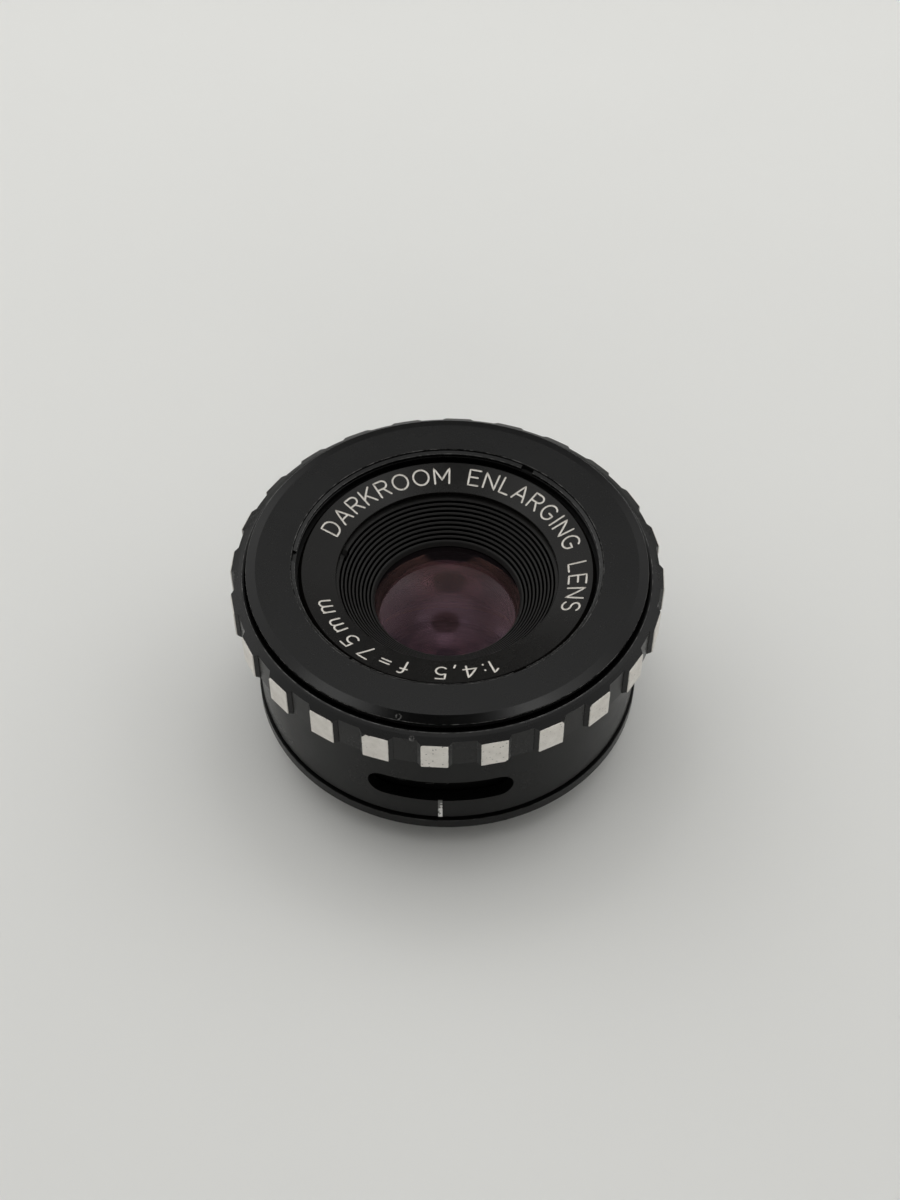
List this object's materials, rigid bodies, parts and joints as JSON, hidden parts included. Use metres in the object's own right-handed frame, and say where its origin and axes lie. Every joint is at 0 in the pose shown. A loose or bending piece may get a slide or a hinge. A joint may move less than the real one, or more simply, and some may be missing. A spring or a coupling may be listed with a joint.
{
  "type": "enlarger lens",
  "caption": "Screw-mount enlarging lens with ribbed aperture ring, read-out window, ridged front baffle and an iris that closes as the ring turns.",
  "frame": {"origin": "on the optical axis, in the plane of the flange's seating face, at the root of the mounting thread", "axes": "+Z along the optical axis towards the front of the lens; -Y towards the index line and the middle of the window; +X to the right seen from the window"},
  "size_m": [0.05, 0.05, 0.0244],
  "materials": {
    "flange_black": "satin black anodised, turned",
    "barrel_black": "satin black anodised",
    "bezel_black": "satin black anodised, fine turned face",
    "ring_black": "satin black anodised",
    "name_ring_black": "semi-gloss black paint",
    "baffle_black": "matt black, finely ridged",
    "inner_black": "matt black anodised",
    "drum_black": "flat black",
    "white_paint": "matt white paint fill",
    "coated_glass": "single-coated, purple reflection",
    "clear_glass": "polished",
    "blade_steel": "blackened spring steel",
    "dark_steel": "blackened steel",
    "bright_steel": "polished steel",
    "brass": "turned brass"
  },
  "bodies": {
    "barrel": {"mount_flange": "flange_black", "body_shell": "barrel_black", "index_mark": "white_paint", "shell_lock_screw": "dark_steel", "main_barrel": "inner_black", "click_ball": "bright_steel", "click_spring": "bright_steel", "front_bezel": "bezel_black", "filter_ring": "bezel_black", "name_ring": "name_ring_black", "front_baffle": "baffle_black", "front_cell": "inner_black", "front_element": "coated_glass", "element_spacer": "inner_black", "middle_element": "clear_glass", "iris_housing": "inner_black", "iris_snap_ring": "dark_steel", "rear_cell": "inner_black", "rear_flint_element": "clear_glass", "rear_crown_element": "coated_glass", "rear_retaining_ring": "inner_black"},
    "aperture_control": {"aperture_ring": "ring_black", "grip_inlays": "white_paint", "scale_drum": "drum_black", "ring_set_screws": "dark_steel", "drive_pin": "dark_steel", "iris_cam_ring": "brass"},
    "blade_1": {"iris_blade_1": "blade_steel"},
    "blade_2": {"iris_blade_2": "blade_steel"},
    "blade_3": {"iris_blade_3": "blade_steel"},
    "blade_4": {"iris_blade_4": "blade_steel"},
    "blade_5": {"iris_blade_5": "blade_steel"}
  },
  "joints": [
    {"name": "aperture_turn", "type": "hinge", "parent": "barrel", "child": "aperture_control", "pos_m": [0, 0, 0.017], "axis": [0, 0, 1], "range_deg": [0, 75]},
    {"name": "blade_1_pivot", "type": "hinge", "parent": "barrel", "child": "blade_1", "pos_m": [0, 0.0144, 0.003], "axis": [0, 0, 1], "range_deg": [-25.6, 0]},
    {"name": "blade_2_pivot", "type": "hinge", "parent": "barrel", "child": "blade_2", "pos_m": [-0.0137, 0.00445, 0.003], "axis": [0, 0, 1], "range_deg": [-25.6, 0]},
    {"name": "blade_3_pivot", "type": "hinge", "parent": "barrel", "child": "blade_3", "pos_m": [-0.00846, -0.01165, 0.003], "axis": [0, 0, 1], "range_deg": [-25.6, 0]},
    {"name": "blade_4_pivot", "type": "hinge", "parent": "barrel", "child": "blade_4", "pos_m": [0.00846, -0.01165, 0.003], "axis": [0, 0, 1], "range_deg": [-25.6, 0]},
    {"name": "blade_5_pivot", "type": "hinge", "parent": "barrel", "child": "blade_5", "pos_m": [0.0137, 0.00445, 0.003], "axis": [0, 0, 1], "range_deg": [-25.6, 0]}
  ],
  "couplings": [
    {"joint": "blade_1_pivot", "follows": "aperture_turn", "ratio": -0.33733},
    {"joint": "blade_2_pivot", "follows": "aperture_turn", "ratio": -0.33733},
    {"joint": "blade_3_pivot", "follows": "aperture_turn", "ratio": -0.33733},
    {"joint": "blade_4_pivot", "follows": "aperture_turn", "ratio": -0.33733},
    {"joint": "blade_5_pivot", "follows": "aperture_turn", "ratio": -0.33733}
  ]
}
